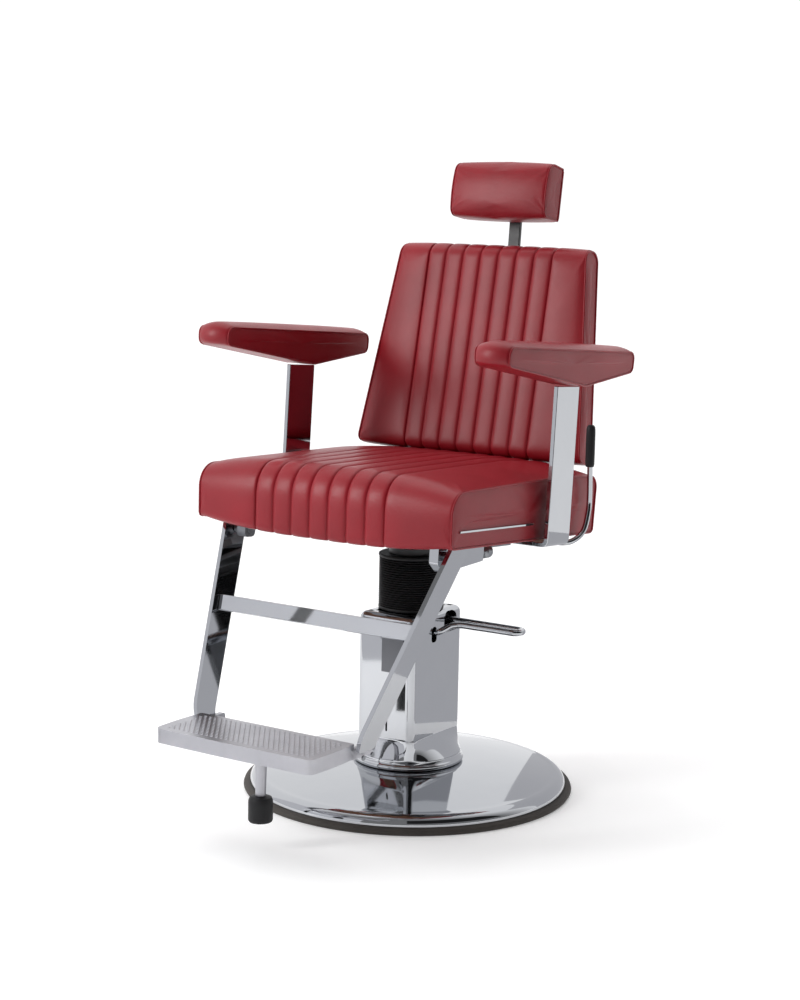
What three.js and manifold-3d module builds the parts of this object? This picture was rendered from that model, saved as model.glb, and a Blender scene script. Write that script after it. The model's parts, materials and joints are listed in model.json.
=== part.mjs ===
// Hydraulic barber chair: a fluted seat and a reclining back on a lifting, turning pedestal, with a
// swinging footrest and an adjustable headrest.
// Millimetres, +Z up. The origin is on the floor on the pedestal's axis, and the sitter faces -Y, so the
// sitter's left is +X. Run it with the npm packages three and manifold-3d.
import * as THREE from "three";
import { mergeVertices } from "three/addons/utils/BufferGeometryUtils.js";
import Module from "manifold-3d";

const wasm = await Module();
wasm.setup();

// Driving dimensions
const degrees = Math.PI / 180;
const gap = 0.3; // left between pieces that touch
const sides = [
  ["left", 1],
  ["right", -1],
];

const base = { radius: 305, rimWidth: 20, rimHeight: 17, crown: 57, fall: 31, sheet: 4, flangeRadius: 96 };
const column = { halfX: 60.5, halfY: 83, corner: 12, sheet: 3, collarRadius: 102.7, top: 338 };
const ram = { radius: 27, bore: 29, cylinderRadius: 44, bottom: 62, top: 441 };
const bellows = { radius: 60, root: 55, inner: 50, bottom: 345, top: 434, folds: 9 };
const pedal = { axisX: 36, axisZ: 317, rearY: 41, frontY: 13, slotY: -13, reach: 206, rodRadius: 6 };

const seat = { tilt: 4.2 * degrees, underside: 492.6, halfWidth: 266, front: -296, rear: 200, top: 108, board: 12, boardHalf: 218 };
const rail = { x: 110, width: 30, height: 24, front: -120, rear: 186 };
const arm = { inner: 255.6, outer: 325.8, postX: 284, postThick: 8, postFront: -15.5, postRear: 61.5 };
const pad = { top: 340, underside: 272.6, front: -250, rear: 209 };

const footrest = { pivotY: -226, pivotZ: 491, lean: 28.1 * degrees, splay: 12 * degrees, barWidth: 52, barThick: 8, pinRadius: 8 };
const plate = { halfWidth: 162, front: -528, rear: -405, top: 198, height: 25, wall: 6 };

const back = { lean: 12.1 * degrees, originY: 168.5, originZ: 609.4, height: 396, lowHalf: 246, topHalf: 201 };
const backDepth = { cushion: 50, panel: 58, armFront: 60, armRear: 86 };
const backPivot = { y: 73, z: -97.2, shaftRadius: 8, armX: 120 };
const headBar = { halfWidth: 12, front: 80, rear: 88, bottom: 185, bend: 404, turn: 7 * degrees, upper: 54 };
const guide = { halfWidth: 24, front: 58.3, rear: 102, bottom: 296, top: 352 };
const head = { halfWidth: 103.5, lean: 9 * degrees, y: 264, z: 1046, height: 107, depth: 59.4, board: 8 };

// Colours and finishes
const finish = (color, roughness, metalness) => new THREE.MeshStandardMaterial({ color, roughness, metalness });
const chrome = finish(0xc9ccd0, 0.08, 1);
const castAluminium = finish(0xc4c5c6, 0.38, 1);
const steel = finish(0x6d7073, 0.45, 1);
const blackSteel = finish(0x1d1d1f, 0.4, 0.6);
const leather = finish(0x8e1a26, 0.45, 0);
const blackRubber = finish(0x161616, 0.7, 0);
const greyRubber = finish(0x3b3733, 0.75, 0);
const plywood = finish(0x6b4a33, 0.7, 0);
const label = finish(0xb9bbbd, 0.35, 0.6);

// Geometry helpers. A profile's corners are [across, up, radius].
const shapeOf = (corners) => {
  const shape = new THREE.Shape();
  corners.forEach(([x, y, radius = 0], i) => {
    const here = new THREE.Vector2(x, y);
    const [before, after] = [-1, 1].map((step) => {
      const [ex, ey] = corners[(i + step + corners.length) % corners.length];
      return new THREE.Vector2(ex, ey).sub(here).setLength(radius).add(here);
    });
    if (i === 0) shape.moveTo(before.x, before.y);
    else shape.lineTo(before.x, before.y);
    if (radius > 0) shape.quadraticCurveTo(x, y, after.x, after.y);
  });
  shape.closePath();
  return shape;
};

const axes = {
  x: new THREE.Matrix4().makeBasis(...[[0, 1, 0], [0, 0, 1], [1, 0, 0]].map((v) => new THREE.Vector3(...v))),
  y: new THREE.Matrix4().makeBasis(...[[1, 0, 0], [0, 0, 1], [0, -1, 0]].map((v) => new THREE.Vector3(...v))),
  z: new THREE.Matrix4(),
};

// A profile carried straight along one axis and centred on it: y-z profiles along x, x-z along y, x-y along z.
const carried = (axis, corners, length, curveSegments = 5) =>
  new THREE.ExtrudeGeometry(shapeOf(corners), { depth: length, bevelEnabled: false, curveSegments })
    .translate(0, 0, -length / 2)
    .applyMatrix4(axes[axis]);

// A profile of [radius, height] pairs turned about the z axis.
const turned = (profile, segments = 32) =>
  new THREE.LatheGeometry(profile.map(([r, z]) => new THREE.Vector2(r, z)), segments).rotateX(Math.PI / 2);

const disc = (radius, bottom, top, segments = 32) =>
  turned([[0, bottom], [radius, bottom], [radius, top], [0, top]], segments);

const tube = (inner, outer, bottom, top, segments = 32) =>
  turned([[inner, bottom], [outer, bottom], [outer, top], [inner, top], [inner, bottom]], segments);

const bar = (width, depth, height) => new THREE.BoxGeometry(width, depth, height);

const rod = (points, radius, steps, roundSides = 8) => {
  const circle = new THREE.Shape().absarc(0, 0, radius, 0, 2 * Math.PI);
  const path = new THREE.CatmullRomCurve3(points.map((p) => new THREE.Vector3(...p)), false, "centripetal");
  return new THREE.ExtrudeGeometry(circle, { steps, extrudePath: path, curveSegments: roundSides });
};

const solidOf = (geometry) => {
  const plain = geometry.clone();
  plain.deleteAttribute("normal");
  plain.deleteAttribute("uv");
  const merged = mergeVertices(plain, 1e-3);
  return new wasm.Manifold(
    new wasm.Mesh({
      numProp: 3,
      vertProperties: merged.attributes.position.array,
      triVerts: new Uint32Array(merged.index.array),
    }),
  );
};

const geometryOf = (solid) => {
  const mesh = solid.getMesh();
  return new THREE.BufferGeometry()
    .setAttribute("position", new THREE.BufferAttribute(mesh.vertProperties, 3))
    .setIndex(new THREE.BufferAttribute(mesh.triVerts, 1));
};

const cut = (geometry, ...tools) =>
  geometryOf(tools.reduce((left, tool) => left.subtract(solidOf(tool)), solidOf(geometry)));

const joined = (geometry, ...more) =>
  geometryOf(more.reduce((whole, extra) => whole.add(solidOf(extra)), solidOf(geometry)));

const chair = new THREE.Group();

const add = (group, name, geometry, material, at = [0, 0, 0]) => {
  const mesh = new THREE.Mesh(geometry, material);
  mesh.name = name;
  mesh.position.set(...at);
  group.add(mesh);
  return mesh;
};

// Base: a thin chrome dome on a rubber rim, with the pump's flange at its centre
const domeHeight = (r) => base.crown - base.fall * (r / base.radius) ** 2;
const domeRadii = [60, 110, 160, 205, 240, 264];
const domeEdge = base.radius - base.rimWidth;
add(
  chair,
  "base_plate",
  turned(
    [
      ...[...domeRadii].reverse().map((r) => [r, domeHeight(r) - base.sheet]),
      ...domeRadii.map((r) => [r, domeHeight(r)]),
      [274, 31],
      [281, 25.5],
      [domeEdge, base.rimHeight + gap],
      [domeEdge - base.sheet, base.rimHeight + gap],
      [277.5, 24],
      [271, 28],
      [domeRadii.at(-1), domeHeight(domeRadii.at(-1)) - base.sheet],
    ].reverse(),
    56,
  ),
  chrome,
);
add(
  chair,
  "base_rim",
  turned(
    [
      [domeEdge - 12, 0],
      [base.radius - 3, 0],
      [base.radius, 5],
      [base.radius - 2, 13],
      [base.radius - 9, base.rimHeight],
      [domeEdge - 12, base.rimHeight],
      [domeEdge - 12, 0],
    ],
    56,
  ),
  greyRubber,
);
add(chair, "base_flange", disc(base.flangeRadius, 0, 14, 40), steel);

// Pump: a cylinder with its ram, under a cover that runs from a rounded rectangle to a round collar
const coverRing = (inset, z, roundness) => {
  const points = [];
  const [hx, hy, r] = [column.halfX - inset, column.halfY - inset, Math.max(column.corner - inset, 4)];
  const circleRadius = column.collarRadius - inset;
  [[1, 1], [-1, 1], [-1, -1], [1, -1]].forEach(([sx, sy], corner) => {
    for (let i = 0; i < 10; i++) {
      const share = i < 5 ? i / 4 : 1;
      const turn = (corner + share) * 90 * degrees;
      const at = new THREE.Vector2(sx * (hx - r) + r * Math.cos(turn), sy * (hy - r) + r * Math.sin(turn));
      if (i >= 5) {
        const along = (i - 4) / 6;
        if (corner % 2 === 0) at.x -= sx * 2 * (hx - r) * along;
        else at.y -= sy * 2 * (hy - r) * along;
      }
      const round = at.clone().setLength(circleRadius);
      at.lerp(round, roundness);
      points.push([at.x, at.y, z]);
    }
  });
  return points;
};

// Rings joined one to the next and the last to the first, so the wall closes on itself.
const loopOfRings = (rings) => {
  const count = rings[0].length;
  const index = [];
  rings.forEach((_, i) => {
    const next = (i + 1) % rings.length;
    for (let j = 0; j < count; j++) {
      const k = (j + 1) % count;
      const [a, b, c, d] = [i * count + j, i * count + k, next * count + k, next * count + j];
      index.push(a, b, c, a, c, d);
    }
  });
  return new THREE.BufferGeometry()
    .setAttribute("position", new THREE.Float32BufferAttribute(rings.flat(2), 3))
    .setIndex(index);
};

const collarBottom = domeHeight(column.collarRadius) + gap;
const wall = [
  [collarBottom, 1],
  [collarBottom + 7, 1],
  [72, 0.72],
  [84, 0.34],
  [96, 0.08],
  [106, 0],
  [column.top - 12, 0],
];
const shoulder = [4, column.top - 3];
const coverShell = loopOfRings([
  ...wall.map(([z, roundness]) => coverRing(0, z, roundness)),
  coverRing(...shoulder, 0),
  coverRing(12, column.top, 0),
  coverRing(12, column.top - column.sheet, 0),
  ...[...wall].reverse().map(([z, roundness]) => coverRing(column.sheet, Math.min(z, column.top - 8), roundness)),
]);
const coverTop = cut(
  joined(coverShell, bar(2 * column.halfX - 20, 2 * column.halfY - 20, column.sheet).translate(0, 0, column.top - 1.5)),
  disc(36, column.top - 10, column.top + 10),
);
const pedalDoor = carried("x", [[-21, -22], [21, -22], [21, 16, 15], [-21, 16, 15]], 30).translate(
  column.halfX, pedal.rearY, pedal.axisZ + 1);
const pedalSlot = bar(30, 17, 29).translate(column.halfX, pedal.slotY, pedal.axisZ - 19.5);
add(chair, "pump_cover", cut(coverTop, pedalDoor, pedalSlot), chrome);
add(
  chair,
  "pump_cylinder",
  turned(
    [
      [0, 14 + gap],
      [ram.cylinderRadius, 14 + gap],
      [ram.cylinderRadius, 250],
      [33, 256],
      [33, 326],
      [ram.bore, 326],
      [ram.bore, 20],
      [0, 20],
    ],
    32,
  ),
  steel,
);
add(chair, "rating_plate", bar(46, 1, 84), label, [17, -column.halfY - 0.5 - gap, 275]);
add(chair, "pump_ram", disc(ram.radius, ram.bottom, ram.top), chrome);

// Bellows between two clamp rings
const foldStep = (bellows.top - bellows.bottom) / (2 * bellows.folds);
const folds = Array.from({ length: 2 * bellows.folds + 1 }, (_, i) => [
  i % 2 ? bellows.radius : bellows.root,
  bellows.bottom + i * foldStep,
]);
add(chair, "bellows", turned([[bellows.inner, bellows.bottom], ...folds, [bellows.inner, bellows.top],
  [bellows.inner, bellows.bottom]], 24), blackRubber);
add(chair, "bellows_clamp_lower", tube(43, 60, column.top + gap, bellows.bottom - gap), blackRubber);
add(chair, "bellows_clamp_upper", tube(ram.radius + 1, 61, bellows.top + gap, ram.top), blackRubber);

// Foot pedal: a hub on the pump's cross shaft, and a rod that loops out and back in through a slot
add(
  chair,
  "pedal_hub",
  carried("y", [[-11, -11, 8], [11, -11, 8], [11, 11, 8], [-11, 11, 8]], 34).translate(
    pedal.axisX, pedal.rearY, pedal.axisZ),
  blackSteel,
);
const loopRadius = (pedal.rearY - pedal.frontY) / 2;
const loopEnd = [90, 60, 30, 0, -30, -60, -90].map((a) => [
  pedal.reach + loopRadius * Math.cos(a * degrees),
  pedal.frontY + loopRadius + loopRadius * Math.sin(a * degrees),
  pedal.axisZ,
]);
add(
  chair,
  "pump_pedal",
  rod(
    [
      [pedal.axisX + 11 + gap, pedal.rearY, pedal.axisZ],
      [150, pedal.rearY, pedal.axisZ],
      ...loopEnd,
      [150, pedal.frontY - 1, pedal.axisZ],
      [104, pedal.frontY - 4, pedal.axisZ],
      [86, pedal.frontY - 12, pedal.axisZ - 3],
      [73, pedal.slotY, pedal.axisZ - 12],
      [62, pedal.slotY, pedal.axisZ - 15],
      [51, pedal.slotY, pedal.axisZ - 15],
    ],
    pedal.rodRadius,
    52,
  ),
  chrome,
);

// Swivel head under the seat
add(chair, "swivel_hub", disc(42, ram.top + gap, 453), blackSteel);

// Seat unit: everything here is tilted back with the seat, with z = 0 on the seat's underside
const seatUnit = new THREE.Group();
seatUnit.position.z = seat.underside;
seatUnit.rotation.x = -seat.tilt;
chair.add(seatUnit);

add(seatUnit, "mount_plate", bar(250, 203, 8), steel, [0, 43.5, -rail.height - 5.3]);
sides.forEach(([side, s]) => {
  const railDepth = rail.rear - rail.front;
  add(seatUnit, `frame_rail_${side}`, bar(rail.width, railDepth, rail.height), steel,
    [s * rail.x, (rail.front + rail.rear) / 2, -rail.height / 2 - gap]);
});
const boardDepth = seat.rear - seat.front - 37;
add(seatUnit, "seat_board", bar(2 * seat.boardHalf, boardDepth, seat.board), plywood,
  [0, (seat.front + seat.rear + 11) / 2, seat.board / 2]);
add(
  seatUnit,
  "seat_cushion",
  carried(
    "x",
    [
      [seat.front, seat.board + gap, 8],
      [seat.rear, seat.board + gap, 10],
      [seat.rear, seat.top - 6, 52],
      [seat.rear - 160, seat.top, 60],
      [seat.front, seat.top - 10, 48],
    ],
    2 * seat.halfWidth,
    7,
  ),
  leather,
);

// Armrests: a flat post that turns in under the seat, and a pad deepest over the post
sides.forEach(([side, s]) => {
  const x0 = arm.postX;
  const x1 = arm.postX + arm.postThick;
  const postDepth = arm.postRear - arm.postFront;
  const postY = (arm.postFront + arm.postRear) / 2;
  add(
    seatUnit,
    `arm_post_${side}`,
    carried(
      "y",
      [
        [s * x1, pad.underside - gap],
        [s * x0, pad.underside - gap],
        [s * x0, -gap - 0.5, 8],
        [s * 150, -gap - 0.5],
        [s * 150, -gap - 0.5 - arm.postThick],
        [s * x1, -gap - 0.5 - arm.postThick, 14],
      ],
      postDepth,
    ),
    chrome,
    [0, postY, 0],
  );
  add(
    seatUnit,
    `arm_pad_${side}`,
    carried(
      "x",
      [
        [pad.front, pad.top, 15],
        [pad.front, 304, 12],
        [27.6, pad.underside],
        [pad.rear, 298, 12],
        [pad.rear, pad.top - 2, 15],
      ],
      arm.outer - arm.inner,
    ),
    leather,
    [(s * (arm.outer + arm.inner)) / 2, 0, 0],
  );
});
add(seatUnit, "side_trim", bar(2.4, 240, 3.4), chrome, [seat.halfWidth + 1.2 + gap, -147, 31]);

// Footrest hangers: a bored block under each front corner, the left one long, with a stop bolt behind
const pinBore = disc(footrest.pinRadius + 0.5, -60, 60, 20).rotateY(Math.PI / 2);
const pivotInSeat = new THREE.Vector3(0, footrest.pivotY, footrest.pivotZ - seat.underside)
  .applyAxisAngle(new THREE.Vector3(1, 0, 0), seat.tilt);
const hangerOutlines = {
  left: [[-246, -gap - 0.5], [-246, -30, 4], [-226, -46, 6], [-100, -34, 4], [-100, -gap - 0.5]],
  right: [[-241, -gap - 0.5], [-241, -31, 10], [-211, -31, 10], [-211, -gap - 0.5]],
};
sides.forEach(([side, s]) => {
  const block = carried("x", hangerOutlines[side], 18);
  add(
    seatUnit,
    `hanger_${side}`,
    cut(block, pinBore.clone().translate(0, pivotInSeat.y, pivotInSeat.z)),
    s > 0 ? chrome : steel,
    [s * 206, 0, 0],
  );
});
const stop = turned([[0, 0], [7, 0], [7, 9], [12, 12], [12, 26], [8, 30], [0, 30]], 16);
add(seatUnit, "stop_bolt", stop.rotateX(-Math.PI / 2), steel, [206, -99.4, -20]);

// Back hinge: a bracket behind each rail, and the lock cylinder between the rails
const toBack = (y, z) => {
  const world = new THREE.Vector3(0, y, z).applyAxisAngle(new THREE.Vector3(1, 0, 0), -back.lean);
  return world.add(new THREE.Vector3(0, back.originY, back.originZ));
};
const hinge = toBack(backPivot.y, backPivot.z);
const hingeInSeat = hinge.clone().sub(new THREE.Vector3(0, 0, seat.underside))
  .applyAxisAngle(new THREE.Vector3(1, 0, 0), seat.tilt);
const shaftBore = disc(backPivot.shaftRadius + 0.5, -30, 30, 20).rotateY(Math.PI / 2);
sides.forEach(([side, s]) => {
  const bracket = carried(
    "x",
    [
      [120, -gap - 0.5],
      [hingeInSeat.y - 14, -gap - 0.5, 3],
      [hingeInSeat.y - 14, hingeInSeat.z + 15, 10],
      [hingeInSeat.y + 15, hingeInSeat.z + 15, 10],
      [hingeInSeat.y + 15, -20, 14],
      [120, -20],
    ],
    8,
  );
  add(
    seatUnit,
    `back_bracket_${side}`,
    cut(bracket, shaftBore.clone().translate(0, hingeInSeat.y, hingeInSeat.z)),
    steel,
    [s * 132, 0, 0],
  );
});
const lockZ = -13.4;
const alongY = (geometry) => geometry.rotateX(-Math.PI / 2);
add(seatUnit, "lock_cylinder", alongY(tube(6.8, 11, -90, 100, 20)), blackSteel, [0, 0, lockZ]);
add(seatUnit, "lock_rod", alongY(disc(6, -60, 182, 16)), chrome, [0, 0, lockZ]);

// Release lever: a rod under the seat that turns up beside it to a rubber grip
const lever = { x: 281, y: 152, shaftY: 96, shaftZ: -10, gripLow: 609, gripTop: 685, radius: 5 };
const leverFoot = new THREE.Vector3(0, lever.shaftY, lever.shaftZ)
  .applyAxisAngle(new THREE.Vector3(1, 0, 0), -seat.tilt)
  .add(new THREE.Vector3(0, 0, seat.underside));
add(
  chair,
  "release_lever",
  rod(
    [
      [150, leverFoot.y, leverFoot.z],
      [220, leverFoot.y, leverFoot.z],
      [258, leverFoot.y + 3, leverFoot.z - 1],
      [274, leverFoot.y + 18, leverFoot.z + 4],
      [lever.x, leverFoot.y + 40, leverFoot.z + 20],
      [lever.x, lever.y - 2, 530],
      [lever.x, lever.y, 560],
      [lever.x, lever.y - 2, lever.gripLow - gap],
    ],
    lever.radius,
    34,
  ),
  chrome,
);
add(
  chair,
  "release_grip",
  turned([[0, lever.gripLow], [7.5, lever.gripLow], [8.5, lever.gripLow + 5], [8.5, lever.gripTop - 9], [6, lever.gripTop - 2],
    [0, lever.gripTop]], 20),
  blackRubber,
  [lever.x, lever.y - 3, 0],
);

// Footrest: two splayed flat bars on pins, a cross bar, a cast tread plate and a rubber-tipped prop
const alongBar = (distance) => [
  distance * Math.sin(footrest.lean) * -1,
  distance * Math.cos(footrest.lean) * -1,
];
const barHalf = footrest.barWidth / 2;
const [acrossY, acrossZ] = [barHalf * Math.cos(footrest.lean), -barHalf * Math.sin(footrest.lean)];
const barOutline = (length) => {
  const [kneeY, kneeZ] = alongBar(length);
  const top = alongBar(-barHalf + 2);
  return [
    [top[0] - acrossY, top[1] - acrossZ, 16],
    [kneeY - acrossY, kneeZ - acrossZ, 14],
    [kneeY - acrossY, kneeZ - acrossZ - 26, 6],
    [kneeY + acrossY, kneeZ - acrossZ - 26, 6],
    [kneeY + acrossY, kneeZ + acrossZ + 4, 10],
    [top[0] + acrossY, top[1] + acrossZ, 8],
  ];
};
const strutX = 234.3;
const strutAt = (z) => strutX - (footrest.pivotZ - z) * Math.tan(footrest.splay);
sides.forEach(([side, s]) => {
  const strut = new THREE.Group();
  strut.position.set(s * strutX, footrest.pivotY, footrest.pivotZ);
  strut.rotation.y = s * footrest.splay;
  chair.add(strut);
  add(strut, `footrest_bar_${side}`, carried("x", barOutline(340), footrest.barThick), chrome);
  add(chair, `footrest_pin_${side}`, disc(footrest.pinRadius, 196, strutX - 6, 20).rotateY((s * Math.PI) / 2), steel,
    [0, footrest.pivotY, footrest.pivotZ]);
});
const crossZ = 371;
const crossHalf = 14;
const crossEnd = (dz) => strutAt(crossZ + dz) - footrest.barThick / 2 / Math.cos(footrest.splay) - 0.8;
add(
  chair,
  "cross_bar",
  carried(
    "y",
    [
      [-crossEnd(crossHalf), crossHalf],
      [-crossEnd(-crossHalf), -crossHalf],
      [crossEnd(-crossHalf), -crossHalf],
      [crossEnd(crossHalf), crossHalf],
    ],
    7,
  ).rotateX(-footrest.lean),
  chrome,
  [0, -303, crossZ],
);
const plateOutline = (inset) => [
  [-plate.halfWidth + inset, plate.front + inset, 14],
  [0, plate.front + inset - 3, 60],
  [plate.halfWidth - inset, plate.front + inset, 14],
  [plate.halfWidth + 3 - inset, (plate.front + plate.rear) / 2, 25],
  [plate.halfWidth - inset, plate.rear - inset, 5],
  [-plate.halfWidth + inset, plate.rear - inset, 5],
  [-plate.halfWidth - 3 + inset, (plate.front + plate.rear) / 2, 25],
];
// Lugs on the plate's rear corners take the screws through the footrest bars.
const lugOuter = strutAt(180) - footrest.barThick / 2 - 2.6;
const lug = carried("x", [[-411, -9], [-353, -9, 5], [-353, 9, 5], [-411, 9]], 10);
add(
  chair,
  "foot_plate",
  joined(
    cut(
      carried("z", plateOutline(0), plate.height).translate(0, 0, plate.top - plate.height / 2),
      carried("z", plateOutline(plate.wall), plate.height).translate(0, 0, plate.top - plate.height / 2 - 7),
    ),
    ...sides.map(([, s]) => lug.clone().translate(s * (lugOuter - 5), 0, 180)),
  ),
  castAluminium,
);
sides.forEach(([side, s]) => {
  [-396, -370].forEach((y, i) => {
    add(chair, `plate_screw_${side}_${i + 1}`, disc(4.5, strutAt(174) + 4.7, strutAt(174) + 7.7, 12)
      .rotateY((s * Math.PI) / 2), steel, [0, y, 174]);
  });
});
const propY = -447;
add(chair, "prop_rod", turned([[0, 90], [8.5, 90], [12, plate.top - 7 - gap], [0, plate.top - 7 - gap]], 20), castAluminium,
  [0, propY, 0]);
add(chair, "prop_foot", turned([[0, 45], [19, 45], [21, 48], [21, 84], [18, 89.5], [0, 89.5]], 24), blackRubber,
  [0, propY, 0]);

// Back unit: z = 0 is the back's lower edge, y = 0 the plane of its front
const backUnit = new THREE.Group();
backUnit.position.set(0, back.originY, back.originZ);
backUnit.rotation.x = -back.lean;
chair.add(backUnit);
const backOutline = (inset) => [
  [-back.lowHalf + inset, inset, 20],
  [back.lowHalf - inset, inset, 20],
  [back.topHalf - inset, back.height - inset, 24],
  [-back.topHalf + inset, back.height - inset, 24],
];
add(backUnit, "back_cushion", carried("y", backOutline(0), backDepth.cushion), leather, [0, backDepth.cushion / 2, 0]);
const panelDepth = backDepth.panel - backDepth.cushion - gap;
add(backUnit, "back_panel", carried("y", backOutline(6), panelDepth), leather,
  [0, backDepth.panel - panelDepth / 2, 0]);
const armHalf = (backDepth.armRear - backDepth.armFront) / 2;
sides.forEach(([side, s]) => {
  const armPlate = carried(
    "x",
    [
      [backDepth.armFront, 120, 4],
      [backDepth.armFront, backPivot.z - armHalf, 12],
      [backDepth.armRear, backPivot.z - armHalf, 12],
      [backDepth.armRear, 20, 4],
      [backDepth.armFront + 8, 120, 4],
    ],
    7,
  );
  add(backUnit, `back_arm_${side}`,
    cut(armPlate, shaftBore.clone().translate(0, backPivot.y, backPivot.z)), steel, [s * backPivot.armX, 0, 0]);
});
add(backUnit, "hinge_shaft", disc(backPivot.shaftRadius, -140, 140, 20).rotateY(Math.PI / 2), steel,
  [0, backPivot.y, backPivot.z]);
const crankBore = disc(backPivot.shaftRadius + gap, -30, 30, 20).rotateY(Math.PI / 2);
const crank = carried("x", [[-13, 13, 10], [-13, -32, 10], [13, -32, 10], [13, 13, 10]], 8).rotateX(42 * degrees);
add(backUnit, "lock_crank", cut(crank, crankBore), blackSteel, [20, backPivot.y, backPivot.z]);

// Headrest slide: a guide on the back, a clamp knob, and a flat bar bent forward at its top
const slot = bar(2 * headBar.halfWidth + 1.6, headBar.rear - headBar.front + 1.6, 200)
  .translate(0, (headBar.front + headBar.rear) / 2, (guide.bottom + guide.top) / 2);
const guideBlock = carried(
  "z",
  [
    [-guide.halfWidth, guide.front],
    [guide.halfWidth, guide.front],
    [guide.halfWidth, guide.rear, 8],
    [-guide.halfWidth, guide.rear, 8],
  ],
  guide.top - guide.bottom,
).translate(0, 0, (guide.bottom + guide.top) / 2);
add(backUnit, "headrest_guide", cut(guideBlock, slot), blackSteel);
const guideMiddle = (guide.bottom + guide.top) / 2;
add(backUnit, "clamp_knob", alongY(turned([[0, 0], [7, 0], [7, 6], [15, 8], [15, 19], [12, 22], [0, 22]], 24)),
  blackRubber, [0, guide.rear + gap, guideMiddle]);
const barThick = headBar.rear - headBar.front;
const [leanY, leanZ] = [-Math.sin(headBar.turn), Math.cos(headBar.turn)];
add(
  backUnit,
  "headrest_bar",
  carried(
    "x",
    [
      [headBar.front, headBar.bottom, 2],
      [headBar.rear, headBar.bottom, 2],
      [headBar.rear, headBar.bend, 12],
      [headBar.rear + leanY * headBar.upper, headBar.bend + leanZ * headBar.upper, 3],
      [headBar.rear - barThick + leanY * headBar.upper, headBar.bend + leanZ * headBar.upper, 3],
      [headBar.front, headBar.bend, 12],
    ],
    2 * headBar.halfWidth,
  ),
  blackSteel,
);

// Headrest: z = 0 at the pad's lower edge, y = 0 on its front
const barTop = toBack(headBar.front + barThick / 2 + leanY * headBar.upper, headBar.bend + leanZ * headBar.upper);
const headUnit = new THREE.Group();
headUnit.position.set(0, head.y, head.z);
headUnit.rotation.x = -head.lean;
chair.add(headUnit);
add(
  headUnit,
  "headrest_pad",
  carried(
    "x",
    [
      [2, 2, 16],
      [head.depth, 2, 3],
      [head.depth, head.height - 6, 3],
      [8, head.height, 18],
      [-6, head.height / 2, 30],
    ],
    2 * head.halfWidth,
    6,
  ),
  leather,
);
add(headUnit, "headrest_board", bar(2 * head.halfWidth - 8, head.board - 0.6, head.height - 14), leather,
  [0, head.depth + head.board / 2, head.height / 2 - 1]);
const knuckleY = barTop.y - 0.5;
const knuckleZ = barTop.z + 12;
const knuckle = new THREE.Vector3(0, knuckleY - head.y, knuckleZ - head.z)
  .applyAxisAngle(new THREE.Vector3(1, 0, 0), head.lean);
const boardBack = head.depth + head.board;
add(
  headUnit,
  "headrest_hinge",
  carried(
    "x",
    [
      [boardBack, knuckle.z - 4, 2],
      [knuckle.y, knuckle.z - 11, 6],
      [knuckle.y + 9, knuckle.z, 8],
      [knuckle.y, knuckle.z + 24, 6],
      [boardBack, knuckle.z + 34, 2],
    ],
    34,
  ),
  blackSteel,
);

export default chair;
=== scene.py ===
import json
import math

import bmesh
import bpy
import numpy as np
from mathutils import Matrix, Vector


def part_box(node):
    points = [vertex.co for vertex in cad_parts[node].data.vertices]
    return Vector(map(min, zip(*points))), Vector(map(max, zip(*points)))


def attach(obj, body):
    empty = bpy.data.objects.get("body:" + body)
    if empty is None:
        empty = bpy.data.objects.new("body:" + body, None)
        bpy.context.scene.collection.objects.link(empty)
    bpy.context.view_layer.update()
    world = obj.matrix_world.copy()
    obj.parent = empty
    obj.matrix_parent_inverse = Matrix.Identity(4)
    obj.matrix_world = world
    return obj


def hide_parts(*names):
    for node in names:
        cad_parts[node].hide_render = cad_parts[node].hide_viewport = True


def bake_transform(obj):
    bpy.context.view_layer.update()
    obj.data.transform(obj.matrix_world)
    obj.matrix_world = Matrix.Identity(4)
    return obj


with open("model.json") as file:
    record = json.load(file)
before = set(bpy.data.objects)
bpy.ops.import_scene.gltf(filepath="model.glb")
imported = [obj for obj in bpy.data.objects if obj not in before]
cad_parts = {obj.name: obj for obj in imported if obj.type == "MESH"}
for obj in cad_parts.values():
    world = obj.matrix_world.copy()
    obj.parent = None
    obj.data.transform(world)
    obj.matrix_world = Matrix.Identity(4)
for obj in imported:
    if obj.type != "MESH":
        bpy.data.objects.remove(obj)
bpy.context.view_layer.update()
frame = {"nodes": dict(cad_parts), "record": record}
nodes = frame["nodes"]
bodyOf = {n: b for b, names in frame["record"]["behaviour"]["bodies"].items() for n in names}
slotOf = {s["node"]: s["material_slot"] for s in frame["record"]["subparts"]}
mm = 0.001
print("frame loaded:", len(nodes), "nodes")

# Camera: a long lens a little above the seat, from the sitter's left
cameraSetup = {"azimuth": 33.35, "elevation": 10.22, "distance": 3.69, "aimHeight": 0.4575,
               "rollRadians": 0.0195, "lens": 72.73, "shift": (-0.01213, 0.04329)}


def placeCamera(setup):
    a, e, r = math.radians(setup["azimuth"]), math.radians(setup["elevation"]), setup["rollRadians"]
    right = Vector((math.cos(a), math.sin(a), 0))
    back = Vector((math.sin(a) * math.cos(e), -math.cos(a) * math.cos(e), math.sin(e)))
    up = back.cross(right)
    rolledRight = right * math.cos(r) + up * math.sin(r)
    rolledUp = up * math.cos(r) - right * math.sin(r)
    cameraData = bpy.data.cameras.new("studioCamera")
    cameraData.lens, cameraData.sensor_width = setup["lens"], 36
    cameraData.shift_x, cameraData.shift_y = setup["shift"]
    camera = bpy.data.objects.new("studioCamera", cameraData)
    bpy.context.scene.collection.objects.link(camera)
    turn = Matrix((rolledRight, rolledUp, back)).transposed().to_4x4()
    turn.translation = Vector((0, 0, setup["aimHeight"])) + back * setup["distance"]
    camera.matrix_world = turn
    bpy.context.scene.camera = camera


placeCamera(cameraSetup)


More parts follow.
